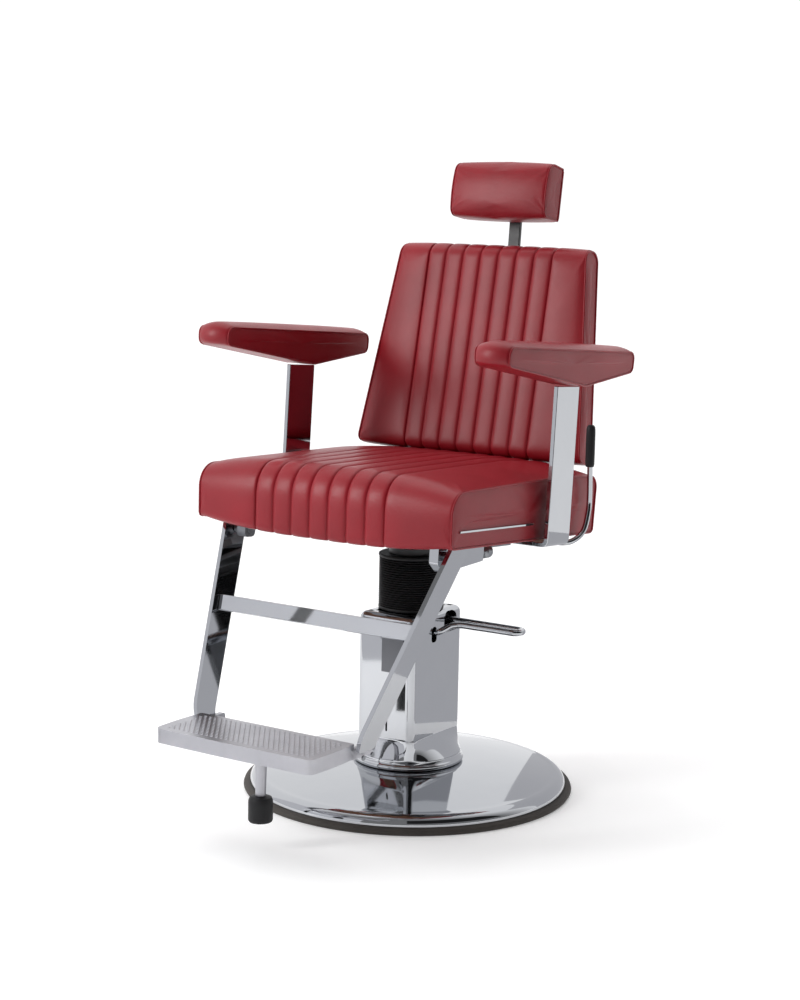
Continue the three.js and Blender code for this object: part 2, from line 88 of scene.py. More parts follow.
# Shader maths: a socket that can be added, multiplied and so on, each adding its Math node
class Wire:
    def __init__(self, tree, socket):
        self.tree, self.socket = tree, socket

    def combine(self, operation, first, second):
        node = self.tree.nodes.new("ShaderNodeMath")
        node.operation = operation
        for slot, value in zip(node.inputs, (first, second)):
            if isinstance(value, Wire):
                self.tree.links.new(value.socket, slot)
            else:
                slot.default_value = value
        return Wire(self.tree, node.outputs[0])

    def __add__(self, other): return self.combine("ADD", self, other)
    def __radd__(self, other): return self.combine("ADD", other, self)
    def __sub__(self, other): return self.combine("SUBTRACT", self, other)
    def __rsub__(self, other): return self.combine("SUBTRACT", other, self)
    def __mul__(self, other): return self.combine("MULTIPLY", self, other)
    def __rmul__(self, other): return self.combine("MULTIPLY", other, self)
    def __truediv__(self, other): return self.combine("DIVIDE", self, other)
    def __pow__(self, other): return self.combine("POWER", self, other)


# A material: node() takes a node's type, its settings and its sockets' values or links
class Finish:
    def __init__(self, name, color, roughness, **fixed):
        self.material = bpy.data.materials.new(name)
        self.material.use_nodes = True
        self.tree = self.material.node_tree
        self.tree.nodes.clear()
        self.shader = self.tree.nodes.new("ShaderNodeBsdfPrincipled")
        output = self.tree.nodes.new("ShaderNodeOutputMaterial")
        self.tree.links.new(self.shader.outputs[0], output.inputs[0])
        self.shader.inputs["Base Color"].default_value = (*color, 1)
        self.shader.inputs["Roughness"].default_value = roughness
        for socketName, value in fixed.items():
            self.shader.inputs[socketName.replace("_", " ")].default_value = value
        self.coordinates = self.node("ShaderNodeTexCoord", output="Object")

    def node(self, kind, settings=None, output=0, **sockets):
        node = self.tree.nodes.new(kind)
        for key, value in (settings or {}).items():
            if key == "stops":
                ramp = node.color_ramp.elements
                while len(ramp) < len(value):
                    ramp.new(0.5)
                for element, (place, shade) in zip(ramp, value):
                    element.position, element.color = place, (shade, shade, shade, 1)
            else:
                setattr(node, key, value)
        for key, value in sockets.items():
            if key.startswith("slot"):
                target = node.inputs[int(key[4:])]
            else:
                target = node.inputs[key.replace("_", " ")]
            if isinstance(value, Wire):
                self.tree.links.new(value.socket, target)
            else:
                target.default_value = value
        return Wire(self.tree, node.outputs[output])

    def noise(self, scale, detail=3, roughness=0.5, stretch=(1, 1, 1)):
        where = self.node("ShaderNodeMapping", Vector=self.coordinates, Scale=stretch)
        return self.node("ShaderNodeTexNoise", Vector=where, Scale=scale, Detail=detail, Roughness=roughness)

    def between(self, factor, first, second):
        return self.node("ShaderNodeMix", {"data_type": "RGBA"}, output=2, slot0=factor,
                         slot6=(*first, 1) if isinstance(first, tuple) else first,
                         slot7=(*second, 1) if isinstance(second, tuple) else second)

    def feed(self, socketName, wire):
        self.tree.links.new(wire.socket, self.shader.inputs[socketName])

    def bump(self, height, strength, depth):
        bumped = self.node("ShaderNodeBump", Height=height, Strength=strength, Distance=depth)
        self.feed("Normal", bumped)


def leatherFinish(look):
    # Grain: fine cells, wider creases and a little noise added up as height; colour drifts between two reds
    leather = Finish("redLeather", look["color"], look["roughness"], Coat_Weight=look["coat"],
                     Coat_Roughness=0.25, Specular_IOR_Level=0.3)
    edges = {"feature": "DISTANCE_TO_EDGE"}
    cells, creases = (leather.node("ShaderNodeTexVoronoi", edges, Vector=leather.coordinates,
                                   Scale=look["grain"] * size) for size in (1, 0.37))
    drift = leather.noise(9, 4, 0.6)
    fine = leather.noise(look["grain"] * 1.7, 2)
    height = cells * 3.0 + creases * 1.2 + fine * 0.35
    leather.feed("Base Color", leather.between(drift * 1.6 - 0.3, look["color"], look["deep"]))
    leather.feed("Roughness", fine * 0.1 + drift * 0.12 + (look["roughness"] - 0.11))
    leather.bump(height, look["grainStrength"], 0.00035)
    return leather.material


def chromeFinish(look):
    # Polished plate: a nearly clear mirror with faint waviness, hazy patches and hair scratches
    chrome = Finish("polishedChrome", look["color"], look["roughness"], Metallic=1.0)
    haze = chrome.noise(7, 5, 0.65)
    hairs = chrome.noise(60, 2, 0.5, stretch=(1, 1, 14))
    chrome.feed("Roughness", haze * 0.05 + hairs * 0.025 + look["roughness"])
    chrome.feed("Base Color", chrome.between(haze, look["color"], look["dull"]))
    chrome.bump(chrome.noise(5, 1), 0.12, 0.002)
    return chrome.material


def castFinish(look):
    # Cast metal: cloudy tone and gloss, with fine pits
    cast = Finish("castAluminium", look["color"], look["roughness"], Metallic=1.0)
    pits = cast.noise(420, 3, 0.6)
    cloud = cast.noise(14, 4, 0.6)
    cast.feed("Base Color", cast.between(cloud, look["color"], look["dull"]))
    cast.feed("Roughness", cloud * 0.2 + pits * 0.1 + (look["roughness"] - 0.12))
    cast.bump(pits, 0.25, 0.0004)
    return cast.material


def brushedFinish(name, color, roughness, stretch, metallic=1.0):
    # Brushed metal: noise drawn out into lines, over a slow cloud of darker tone
    steel = Finish(name, color, roughness, Metallic=metallic)
    lines = steel.noise(150, 3, 0.6, stretch=stretch)
    cloud = steel.noise(11, 4)
    steel.feed("Base Color", steel.between(cloud, color, tuple(c * 0.72 for c in color)))
    steel.feed("Roughness", lines * 0.14 + cloud * 0.1 + (roughness - 0.1))
    steel.bump(lines, 0.12, 0.0003)
    return steel.material


def rubberFinish(name, color, roughness):
    # Rubber: dusty patches of lighter tone, with a fine speck in the surface
    rubber = Finish(name, color, roughness, Specular_IOR_Level=0.2)
    dust = rubber.noise(30, 5, 0.65)
    speck = rubber.noise(700, 2)
    rubber.feed("Base Color", rubber.between(dust, color, tuple(c * 1.7 + 0.004 for c in color)))
    rubber.feed("Roughness", dust * 0.2 + (roughness - 0.08))
    rubber.bump(speck, 0.2, 0.0002)
    return rubber.material


def plywoodFinish():
    # Stained plywood: wavy bands of grain, with a fine drawn-out noise
    wood = Finish("plywood", (0.2, 0.09, 0.05), 0.6)
    grain = wood.node("ShaderNodeTexWave", {"bands_direction": "X"}, Vector=wood.coordinates, Scale=9,
                      Distortion=5, Detail=3, Detail_Scale=1.6)
    wood.feed("Base Color", wood.between(grain, (0.22, 0.1, 0.055), (0.12, 0.05, 0.03)))
    wood.feed("Roughness", grain * 0.12 + 0.52)
    wood.bump(wood.noise(240, 3, 0.5, stretch=(1, 9, 1)), 0.15, 0.0004)
    return wood.material


leatherLook = {"color": (0.31, 0.009, 0.018), "deep": (0.22, 0.006, 0.012), "roughness": 0.38, "coat": 0.12,
               "grain": 620, "grainStrength": 0.3}
chromeLook = {"color": (0.52, 0.53, 0.55), "dull": (0.46, 0.475, 0.5), "roughness": 0.012}
castLook = {"color": (0.54, 0.54, 0.57), "dull": (0.38, 0.38, 0.41), "roughness": 0.34}
finishes = {
    "leather": leatherFinish(leatherLook),
    "chrome": chromeFinish(chromeLook),
    "cast_aluminium": castFinish(castLook),
    "steel": brushedFinish("machinedSteel", (0.3, 0.31, 0.33), 0.36, (1, 1, 8)),
    "black_steel": brushedFinish("blackEnamel", (0.018, 0.018, 0.02), 0.36, (1, 1, 1), 0.0),
    "black_rubber": rubberFinish("blackRubber", (0.012, 0.012, 0.013), 0.46),
    "grey_rubber": rubberFinish("greyRubber", (0.045, 0.04, 0.036), 0.6),
    "plywood": plywoodFinish(),
    "label": brushedFinish("blankLabel", (0.2, 0.205, 0.22), 0.3, (12, 1, 1)),
}
print("finishes made")


# Mesh helpers
def makePiece(name, points, faces, body, slotName, sharpAngle=40, stands=()):
    # Points are in millimetres; the faces are flipped if the enclosed volume comes out negative. The body is
    # a name whose empty the piece is attached to; a tuple of two bodies only bakes the piece in place,
    # attached to neither
    points = np.asarray(points, float).reshape(-1, 3) * mm
    mesh = bpy.data.meshes.new(name)
    mesh.from_pydata(points.tolist(), [], [list(map(int, f)) for f in faces])
    mesh.calc_loop_triangles()
    tris = np.zeros(len(mesh.loop_triangles) * 3, int)
    mesh.loop_triangles.foreach_get("vertices", tris)
    a, b, c = points[tris.reshape(-1, 3)].transpose(1, 0, 2)
    if np.einsum("ij,ij->i", a, np.cross(b, c)).sum() < 0:
        mesh.flip_normals()
    mesh.shade_smooth()
    if sharpAngle:
        mesh.set_sharp_from_angle(angle=math.radians(sharpAngle))
    mesh.materials.append(finishes[slotName])
    piece = bpy.data.objects.new(name, mesh)
    bpy.context.scene.collection.objects.link(piece)
    if isinstance(body, tuple):
        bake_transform(piece)
    else:
        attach(piece, body)
    if stands:
        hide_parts(*stands)
    return piece


def ringFaces(rings, around, closedAlong=False, capped=True):
    # Quads join neighbouring rings of a grid, and a fan from a middle point closes each end
    i, j = np.meshgrid(np.arange(rings if closedAlong else rings - 1), np.arange(around), indexing="ij")
    nextRing, nextStep = (i + 1) % rings, (j + 1) % around
    quads = np.stack([i * around + j, i * around + nextStep, nextRing * around + nextStep,
                      nextRing * around + j], axis=-1).reshape(-1, 4)
    faces = quads.tolist()
    if capped and not closedAlong:
        steps = np.arange(around)
        low, high = rings * around, rings * around + 1
        last = (rings - 1) * around
        faces += np.stack([np.full(around, low), (steps + 1) % around, steps], -1).tolist()
        faces += np.stack([np.full(around, high), last + steps, last + (steps + 1) % around], -1).tolist()
    return faces


def tubeOfRings(grid):
    # A grid of rings (rings, around, 3) with each end closed by a fan about its middle
    ends = np.stack([grid[0].mean(0), grid[-1].mean(0)])
    return np.vstack([grid.reshape(-1, 3), ends]), ringFaces(grid.shape[0], grid.shape[1])


def roundedLoop(corners, count):
    # Straight sides joined by arcs tangent to both, cut into equal lengths; corners are (a, b, radius)
    places = np.array([c[:2] for c in corners], float)
    runs = []
    for k, corner in enumerate(corners):
        here, radius = places[k], corner[2] if len(corner) > 2 else 0
        toBefore = places[k - 1] - here
        toAfter = places[(k + 1) % len(corners)] - here
        toBefore, toAfter = toBefore / np.hypot(*toBefore), toAfter / np.hypot(*toAfter)
        if radius <= 0:
            runs.append(here[None])
            continue
        half = math.acos(np.clip(toBefore @ toAfter, -1, 1)) / 2
        middle = toBefore + toAfter
        centre = here + middle / np.hypot(*middle) * radius / math.sin(half)
        start, end = (here + d * radius / math.tan(half) - centre for d in (toBefore, toAfter))
        first = math.atan2(start[1], start[0])
        sweep = (math.atan2(end[1], end[0]) - first + math.pi) % (2 * math.pi) - math.pi
        angle = first + sweep * np.linspace(0, 1, 13)
        runs.append(centre + radius * np.stack([np.cos(angle), np.sin(angle)], -1))
    path = np.vstack(runs)
    path = np.vstack([path, path[:1]])
    length = np.concatenate([[0], np.cumsum(np.hypot(*np.diff(path, axis=0).T))])
    where = np.linspace(0, length[-1], count, endpoint=False)
    loop = np.stack([np.interp(where, length, path[:, 0]), np.interp(where, length, path[:, 1])], -1)
    area = np.sum(loop[:, 0] * np.roll(loop[:, 1], -1) - loop[:, 1] * np.roll(loop[:, 0], -1))
    return loop if area > 0 else loop[::-1].copy()


def loopNormals(loop):
    # Each normal is the line between a point's two neighbours, turned a quarter outwards
    along = np.roll(loop, -1, 0) - np.roll(loop, 1, 0)
    normal = np.stack([along[:, 1], -along[:, 0]], -1)
    return normal / np.linalg.norm(normal, axis=1, keepdims=True)


def smoothStep(low, high, x):
    # 0 before low, 1 after high, and three t squared less two t cubed between
    t = np.clip((x - low) / (high - low), 0, 1)
    return t * t * (3 - 2 * t)


def leaned(points, leanDegrees, origin):
    # Turned about X, top towards +Y, then moved
    a = math.radians(leanDegrees)
    x, y, z = np.moveaxis(np.asarray(points, float), -1, 0)
    turned = np.stack([x, y * math.cos(a) + z * math.sin(a), -y * math.sin(a) + z * math.cos(a)], -1)
    return turned + np.array(origin)


def smoothPath(points, perSpan):
    # Catmull-Rom: each span is the cubic through its two ends with slopes from their neighbours
    p = np.array(points, float)
    p = np.vstack([2 * p[0] - p[1], p, 2 * p[-1] - p[-2]])
    t = np.linspace(0, 1, perSpan, endpoint=False)[None, :, None]
    a, b, c, d = (p[k:len(p) - 3 + k, None, :] for k in range(4))
    square, cube = 2 * a - 5 * b + 4 * c - d, 3 * b - a - 3 * c + d
    spans = 0.5 * (2 * b + (c - a) * t + square * t**2 + cube * t**3)
    return np.vstack([spans.reshape(-1, 3), p[-2]])


def sweptTube(path, radius, reference, around=16, closed=False):
    # A circle carried along a path; its frame comes from the path's direction and one fixed direction
    path = np.asarray(path, float)
    if closed:
        along = np.roll(path, -1, 0) - np.roll(path, 1, 0)
    else:
        along = np.gradient(path, axis=0)
    along /= np.linalg.norm(along, axis=1, keepdims=True)
    sideways = np.cross(np.array(reference, float), along)
    sideways /= np.linalg.norm(sideways, axis=1, keepdims=True)
    upward = np.cross(along, sideways)
    turn = np.linspace(0, 2 * np.pi, around, endpoint=False)
    radius = np.broadcast_to(radius, len(path))[:, None, None]
    return path[:, None] + radius * (np.cos(turn)[None, :, None] * sideways[:, None]
                                     + np.sin(turn)[None, :, None] * upward[:, None])


def lathe(profile, around=128):
    # A closed (radius, height) loop turned about Z
    profile = np.array(profile, float)
    turn = np.linspace(0, 2 * np.pi, around, endpoint=False)
    r, z = profile[:, 0][:, None], profile[:, 1][:, None]
    grid = np.stack([r * np.cos(turn), r * np.sin(turn), z + 0 * turn], -1)
    return grid.reshape(-1, 3), ringFaces(len(profile), around, closedAlong=True)


def openLathe(profile, around=64):
    # A (radius, height) run turned about Z, its two ends closed at the middle
    profile = np.array(profile, float)
    turn = np.linspace(0, 2 * np.pi, around, endpoint=False)
    r, z = profile[:, 0][:, None], profile[:, 1][:, None]
    return tubeOfRings(np.stack([r * np.cos(turn), r * np.sin(turn), z + 0 * turn], -1))


def addBevel(piece, width, segments=3, angle=35):
    bevel = piece.modifiers.new("Bevel", "BEVEL")
    bevel.width, bevel.segments, bevel.limit_method = width * mm, segments, "ANGLE"
    bevel.angle_limit = math.radians(angle)
    bevel.harden_normals = True
    return piece


def refined(node, bevel=0.6, sharpAngle=32, name=None):
    # A merged, smooth-shaded copy of a CAD node with softened edges stands for it
    mesh = nodes[node].data.copy()
    work = bmesh.new()
    work.from_mesh(mesh)
    bmesh.ops.remove_doubles(work, verts=work.verts, dist=2e-6)
    bmesh.ops.dissolve_limit(work, angle_limit=math.radians(0.6), verts=work.verts, edges=work.edges)
    work.to_mesh(mesh)
    work.free()
    mesh.shade_smooth()
    mesh.set_sharp_from_angle(angle=math.radians(sharpAngle))
    mesh.materials.clear()
    mesh.materials.append(finishes[slotOf[node]])
    piece = bpy.data.objects.new(name or f"{node}_finished", mesh)
    bpy.context.scene.collection.objects.link(piece)
    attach(piece, bodyOf[node])
    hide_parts(node)
    if bevel:
        addBevel(piece, bevel, 2)
    return piece


# Cushions: a side profile carried across, rounded over at both ends into flat side panels. Each
# station across has a place x, an inset of the profile, and for the panels a shrink towards the middle.
def stations(spec):
    half, edge = spec["half"], spec["edge"]
    seams = sorted(spec["seams"])
    knots = [-half + edge, *seams, half - edge]
    inner = []
    for a, b in zip(knots[:-1], knots[1:]):
        count = max(4, int(round((b - a) / spec["step"])))
        inner.append(a + (b - a) * (0.5 - 0.5 * np.cos(np.pi * np.linspace(0, 1, count, endpoint=False))))
    inner = np.concatenate([*inner, [half - edge]])
    angle = np.linspace(0.5 * np.pi, 0, 6)[:-1]
    overX, overInset = half - edge + edge * np.sin(angle), edge * (1 - np.cos(angle))
    shrink = np.array([0.93, 0.78, 0.6, 0.42, 0.25, 0.12, 0.04])
    x = np.concatenate([np.full(7, -half), -overX, inner, overX[::-1], np.full(7, half)])
    inset = np.concatenate([np.full(7, edge), overInset, 0 * inner, overInset[::-1], np.full(7, edge)])
    toMiddle = np.concatenate([shrink, 0 * overX, 0 * inner, 0 * overX, shrink[::-1]])
    return x, inset, toMiddle, 7 + 2, len(x) - 1 - 9


def makePiping(name, run, radius, reference, body):
    tube = sweptTube(run, radius, reference, 10, closed=True)
    makePiece(name, tube.reshape(-1, 3), ringFaces(*tube.shape[:2], closedAlong=True), body, "leather",
              sharpAngle=None)


def inflated(name, points, faces, held, cap, spec):
    # Cloth under pressure: the sewn lines and the resting face are held, the rest swells up to the cap
    mesh = bpy.data.meshes.new(name + "Sim")
    mesh.from_pydata((points * mm).tolist(), [], faces)
    cover = bpy.data.objects.new(name + "Sim", mesh)
    bpy.context.scene.collection.objects.link(cover)
    group = cover.vertex_groups.new(name="held")
    group.add(np.nonzero(held)[0].tolist(), 1.0, "REPLACE")
    cloth = cover.modifiers.new("Cloth", "CLOTH")
    settings = cloth.settings
    settings.quality, settings.mass = 4, 0.25
    settings.tension_stiffness = settings.compression_stiffness = 12
    settings.shear_stiffness, settings.bending_stiffness = 6, 0.4
    settings.use_pressure, settings.uniform_pressure_force = True, spec["pressure"]
    settings.effector_weights.gravity = 0
    settings.vertex_group_mass = "held"
    cloth.point_cache.frame_start, cloth.point_cache.frame_end = 1, 20
    scene = bpy.context.scene
    for frameNumber in range(1, 21):
        scene.frame_set(frameNumber)
    result = cover.evaluated_get(bpy.context.evaluated_depsgraph_get())
    swollen = np.zeros(len(mesh.vertices) * 3)
    result.data.vertices.foreach_get("co", swollen)
    scene.frame_set(1)
    bpy.data.objects.remove(cover)
    move = swollen.reshape(-1, 3) / mm - points
    size = np.linalg.norm(move, axis=1, keepdims=True)
    size = np.where(np.isfinite(size), size, 0)
    print("  swelled by up to", round(float(size.max()), 2), "mm, mean", round(float(size.mean()), 2))
    return points + np.where(size > 1e-9, move / np.maximum(size, 1e-9) * cap * np.tanh(size / cap), 0)


def makeCushion(name, spec, body, stands):
    x, inset, toMiddle, leftEdge, rightEdge = stations(spec)
    loop = roundedLoop(spec["profile"], spec["around"])
    normal = loopNormals(loop)
    across = np.clip(np.abs(x) / spec["half"], 0, 1)
    rests = np.array(spec["rests"], float)
    soft = 1 - smoothStep(0.45, 0.9, normal @ rests)        # 0 where it rests on its board
    crown = (1 - across**spec["crownPower"])[:, None, None] * np.array(spec["crown"])
    ring = loop[None] + normal[None] * soft[None, :, None] * crown
    ring = ring - normal[None] * inset[:, None, None] * np.array(spec["edgeReach"])
    middle = loop.mean(0) + (loop - loop.mean(0)) * np.array(spec["panelCore"])
    ring = ring + (middle[None] - ring) * toMiddle[:, None, None]
    width = spec["widthAt"](ring[..., 1])
    place = np.abs(x)[:, None]
    straight = spec["straight"]
    spread = np.where(place <= straight, place,
                      straight + (place - straight) * (width - straight) / (spec["half"] - straight))
    if straight == 0:
        spread = place * width / spec["half"]
    grid = np.concatenate([(np.sign(x)[:, None] * spread)[..., None], ring], -1)
    points, faces = tubeOfRings(grid)
    seams = np.array(sorted(spec["seams"]))
    onSeam = np.zeros(len(x), bool) if len(seams) == 0 else (np.abs(x[:, None] - seams).min(1) < 0.05)
    onSeam[[leftEdge, rightEdge]] = True
    softGrid = np.broadcast_to(soft[None], (len(x), len(soft)))
    held = np.concatenate([(onSeam[:, None] | (softGrid < 0.5)).ravel(), [False, False]])
    points = inflated(name, points, faces, held, spec["cap"], spec)
    grid = points[:-2].reshape(grid.shape)
    # Sewn channels: a narrow pull-in along each seam and a low crown between them
    if len(seams):
        away = np.abs(x[:, None] - seams).min(1)
        inside = np.abs(x) <= seams.max() + 30
        pull = spec["seamDepth"] * np.exp(-(away / spec["seamWidth"]) ** 1.4)
        bulge = np.sin(np.pi * np.clip(away / spec["pitch"], 0, 0.5))
        lift = spec["channelCrown"] * np.clip(bulge, 0, 1) ** 0.8
        change = np.where(inside, lift, spec["channelCrown"] * smoothStep(0, 26, away)) - pull
        change = np.where(toMiddle + inset > 0.6 * spec["edge"], 0, change)
        grid[..., 1:] += normal[None] * (soft[None] * change[:, None])[..., None]
    points[:-2] = grid.reshape(-1, 3)
    points = spec["settle"](points) if "settle" in spec else points
    grid = points[:-2].reshape(grid.shape)
    world = leaned(points, spec["lean"], spec["origin"]) + np.array([spec.get("shiftX", 0), 0, 0])
    piece = makePiece(name, world, faces, body, "leather", sharpAngle=None, stands=stands)
    smooth = piece.modifiers.new("Subdivision", "SUBSURF")
    smooth.levels = smooth.render_levels = 1
    # Piping: a thin tube that follows each side edge all round
    for side, station in (("right", leftEdge), ("left", rightEdge)):
        edge = grid[station].copy()
        edge[:, 0] += math.copysign(spec["pipingOut"], x[station])
        edge[:, 1:] += normal * spec["pipingOut"]
        edge = leaned(edge, spec["lean"], spec["origin"]) + np.array([spec.get("shiftX", 0), 0, 0])
        makePiping(f"{name}_piping_{side}", edge, spec["piping"], (1, 0, 0), body)
    print("cushion", name, len(points), "points")
    return piece


def seatHollow(points):
    # The face under the seat is raised inside its edges, to clear the footrest bars, and the middle of
    # the front edge sags below its ends
    x, y, z = points.T
    inside = smoothStep(256, 249, np.abs(x)) * smoothStep(-283, -273, y) * smoothStep(40, 12, z)
    belly = (1 - np.clip(np.abs(x) / 262, 0, 1)**3) * smoothStep(-262, -292, y) * smoothStep(70, 8, z)
    return np.stack([x, y, z + 11 * inside - 11 * belly], -1)


seatUnit = {"lean": 4.2, "origin": (0, 0, 492.6)}
backUnit = {"lean": 12.1, "origin": (0, 168.5, 609.4)}
headUnit = {"lean": 9.0, "origin": (0, 264, 1046)}
pitch = 38.6
channelSeams = [pitch * (k + 0.5) for k in range(-4, 4)]

seatSpec = {**seatUnit, "half": 265, "edge": 4.5, "step": 4.3, "around": 190, "seams": channelSeams,
            "profile": [(-287, 2, 9), (196, 2, 9), (200, 106, 22), (60, 109, 300), (-292, 95, 38)],
            "pitch": pitch, "rests": (0, -1), "crown": (8, 19), "crownPower": 3.4, "edgeReach": (1, 1),
            "panelCore": (0.82, 0.02),
            "widthAt": lambda z: 265 + 0 * z, "straight": 0, "pressure": 4, "cap": 2.5, "seamDepth": 3.4,
            "seamWidth": 1.1, "channelCrown": 1.5, "piping": 1.9, "pipingOut": 0.6, "fill": 0.75,
            "settle": seatHollow}
backSpec = {**backUnit, "half": 246, "edge": 4.5, "step": 4.3, "around": 170, "seams": channelSeams,
            "profile": [(3, 1, 16), (50, 1, 8), (50, 394, 20), (3, 394, 24)], "pitch": pitch, "rests": (1, 0),
            "crown": (5, 2.5), "crownPower": 3, "edgeReach": (1, 2.0), "panelCore": (0.05, 0.85),
            "widthAt": lambda z: 246 - 45 * np.clip(z / 396, 0, 1), "straight": 135.1, "pressure": 4,
            "cap": 2.5, "seamDepth": 3.2, "seamWidth": 1.1, "channelCrown": 0.8, "piping": 1.9,
            "pipingOut": 0.6, "fill": 0.75}
headSpec = {**headUnit, "half": 103, "edge": 6, "step": 6, "around": 120, "seams": [], "pitch": pitch,
            "profile": [(1, 0, 18), (58, 0, 3), (58, 101, 3), (5, 105, 22), (-4, 52, 200)], "rests": (1, 0),
            "crown": (3, 2), "crownPower": 2.4, "edgeReach": (1, 1), "panelCore": (0.1, 0.3),
            "widthAt": lambda z: 103 + 0 * z, "straight": 0, "pressure": 4, "cap": 3, "seamDepth": 0,
            "seamWidth": 1, "channelCrown": 0, "piping": 1.7, "pipingOut": 0.5, "fill": 0.85}
armSpec = {**seatUnit, "half": 34.4, "edge": 5, "step": 5, "around": 150, "seams": [], "pitch": pitch,
           "profile": [(-240, 339, 15), (-240, 305, 12), (27.6, 273.4, 6), (199, 299, 12), (199, 337, 15)],
           "rests": (0, -1), "crown": (10, 8), "crownPower": 2, "edgeReach": (1, 1), "panelCore": (0.8, 0.04),
           "widthAt": lambda z: 34.4 - 0.05 * np.clip(338 - z, 0, 70), "straight": 0, "pressure": 4, "cap": 3,
           "seamDepth": 0, "seamWidth": 1, "channelCrown": 0, "piping": 1.7, "pipingOut": 0.4, "fill": 0.85}

makeCushion("seat_cushion_soft", seatSpec, "seat", ["seat_cushion"])
makeCushion("back_cushion_soft", backSpec, "back", ["back_cushion"])
makeCushion("headrest_pad_soft", headSpec, "headrest", ["headrest_pad"])
for side, s in (("left", 1), ("right", -1)):
    makeCushion(f"arm_pad_soft_{side}", {**armSpec, "shiftX": s * 290.7}, "seat", [f"arm_pad_{side}"])


# Upholstered rear panels: rings of the outline shrink to the middle while the depth rises to a low dome
def makeShell(name, corners, depth, thickness, rise, edge, unit, body, stands):
    loop = roundedLoop(corners, 160)
    centre = loop.mean(0)
    curl = np.linspace(0, 0.5 * np.pi, 6)
    backRings = np.linspace(1, 0.04, 16)
    shrink = np.concatenate([[0.05, 0.5, 0.97], np.ones(2), np.ones(6), backRings[1:]])
    pullIn = np.concatenate([np.full(3, 1.5), [0, 0], edge * (1 - np.cos(curl)), np.full(15, edge)])
    y = np.concatenate([np.zeros(3), [0.8, thickness - edge], thickness - edge + edge * np.sin(curl),
                        thickness + rise * (1 - backRings[1:] ** 2.5)])
    normal = loopNormals(loop)
    flat = (loop[None] - normal[None] * pullIn[:, None, None] - centre) * shrink[:, None, None] + centre
    grid = np.stack([flat[..., 0], np.broadcast_to((depth + y)[:, None], flat.shape[:2]), flat[..., 1]], -1)
    points, faces = tubeOfRings(grid)
    piece = makePiece(name, leaned(points, unit["lean"], unit["origin"]), faces, body, "leather", 50, stands)
    edgeRing = np.stack([loop[:, 0], np.full(len(loop), depth + 1.2), loop[:, 1]], -1)
    makePiping(name + "_piping", leaned(edgeRing, unit["lean"], unit["origin"]), 1.8, (0, 1, 0), body)
    return piece


makeShell("back_panel_soft", [(-243, 4, 16), (243, 4, 16), (198, 392, 22), (-198, 392, 22)],
          50.6, 7.5, 2.5, 4, backUnit, "back", ["back_panel"])
makeShell("headrest_panel_soft", [(-101, 3, 5), (101, 3, 5), (101, 99, 5), (-101, 99, 5)], 58.6, 6.5, 1.5, 3,
          headUnit, "headrest", ["headrest_board"])
print("upholstery made")

# Base: a thin polished dome rolled over at its rim, in a ring of rubber
baseShape = {"hole": 60, "rollFrom": 270, "edge": 293, "crown": 57, "fall": 32, "radius": 305, "rimTop": 12.6}
p = baseShape
domeR = np.linspace(p["hole"], p["rollFrom"], 30)
domeZ = p["crown"] - p["fall"] * (domeR / p["radius"]) ** 2
turnDown = np.linspace(0, 0.5 * np.pi, 14)[1:]
rimR = p["rollFrom"] + (p["edge"] - p["rollFrom"]) * np.sin(turnDown)
rimZ = p["rimTop"] + (domeZ[-1] - p["rimTop"]) * np.clip(np.cos(turnDown), 0, 1) ** 0.85
outer = np.stack([np.concatenate([domeR, rimR]), np.concatenate([domeZ, rimZ])], -1)
inner = outer[::-1] - np.array([2.5, 3.0])
inner[:, 1] = np.maximum(inner[:, 1], p["rimTop"])
makePiece("base_dome", *lathe(np.vstack([outer, inner]), 192), "base", "chrome", 45, ["base_plate"])
rimCorners = [(276, 0, 1), (302, 0, 2), (305, 5, 3), (303, 10, 3), (297, 12.2, 2), (276, 12.2, 1)]
makePiece("base_rim_ring", *lathe(roundedLoop(rimCorners, 60), 192), "base", "grey_rubber", 60, ["base_rim"])

# Pump cover: a rounded rectangle that swells into a round collar at its foot, with a rolled lip
coverShape = {"halfX": 60.5, "halfY": 83, "corner": 12, "collar": 102.7, "foot": 54.5}


def coverRings(heights, insets, roundness, around=200):
    # Each ring lies part way from the rounded rectangle to the circle in the same directions
    shape = coverShape
    turn = np.linspace(0, 2 * np.pi, around, endpoint=False)
    loop = roundedLoop([(sx * shape["halfX"], sy * shape["halfY"], shape["corner"])
                        for sx, sy in ((1, -1), (1, 1), (-1, 1), (-1, -1))], around)
    angle = np.arctan2(loop[:, 1], loop[:, 0])
    circle = shape["collar"] * np.stack([np.cos(angle), np.sin(angle)], -1)
    normal = loopNormals(loop)
    radial = np.stack([np.cos(angle), np.sin(angle)], -1)
    w = roundness[:, None, None]
    flat = loop + (circle - loop) * w - insets[:, None, None] * (normal * (1 - w) + radial * w)
    return np.concatenate([flat, np.broadcast_to(heights[:, None, None], (*flat.shape[:2], 1))], -1)


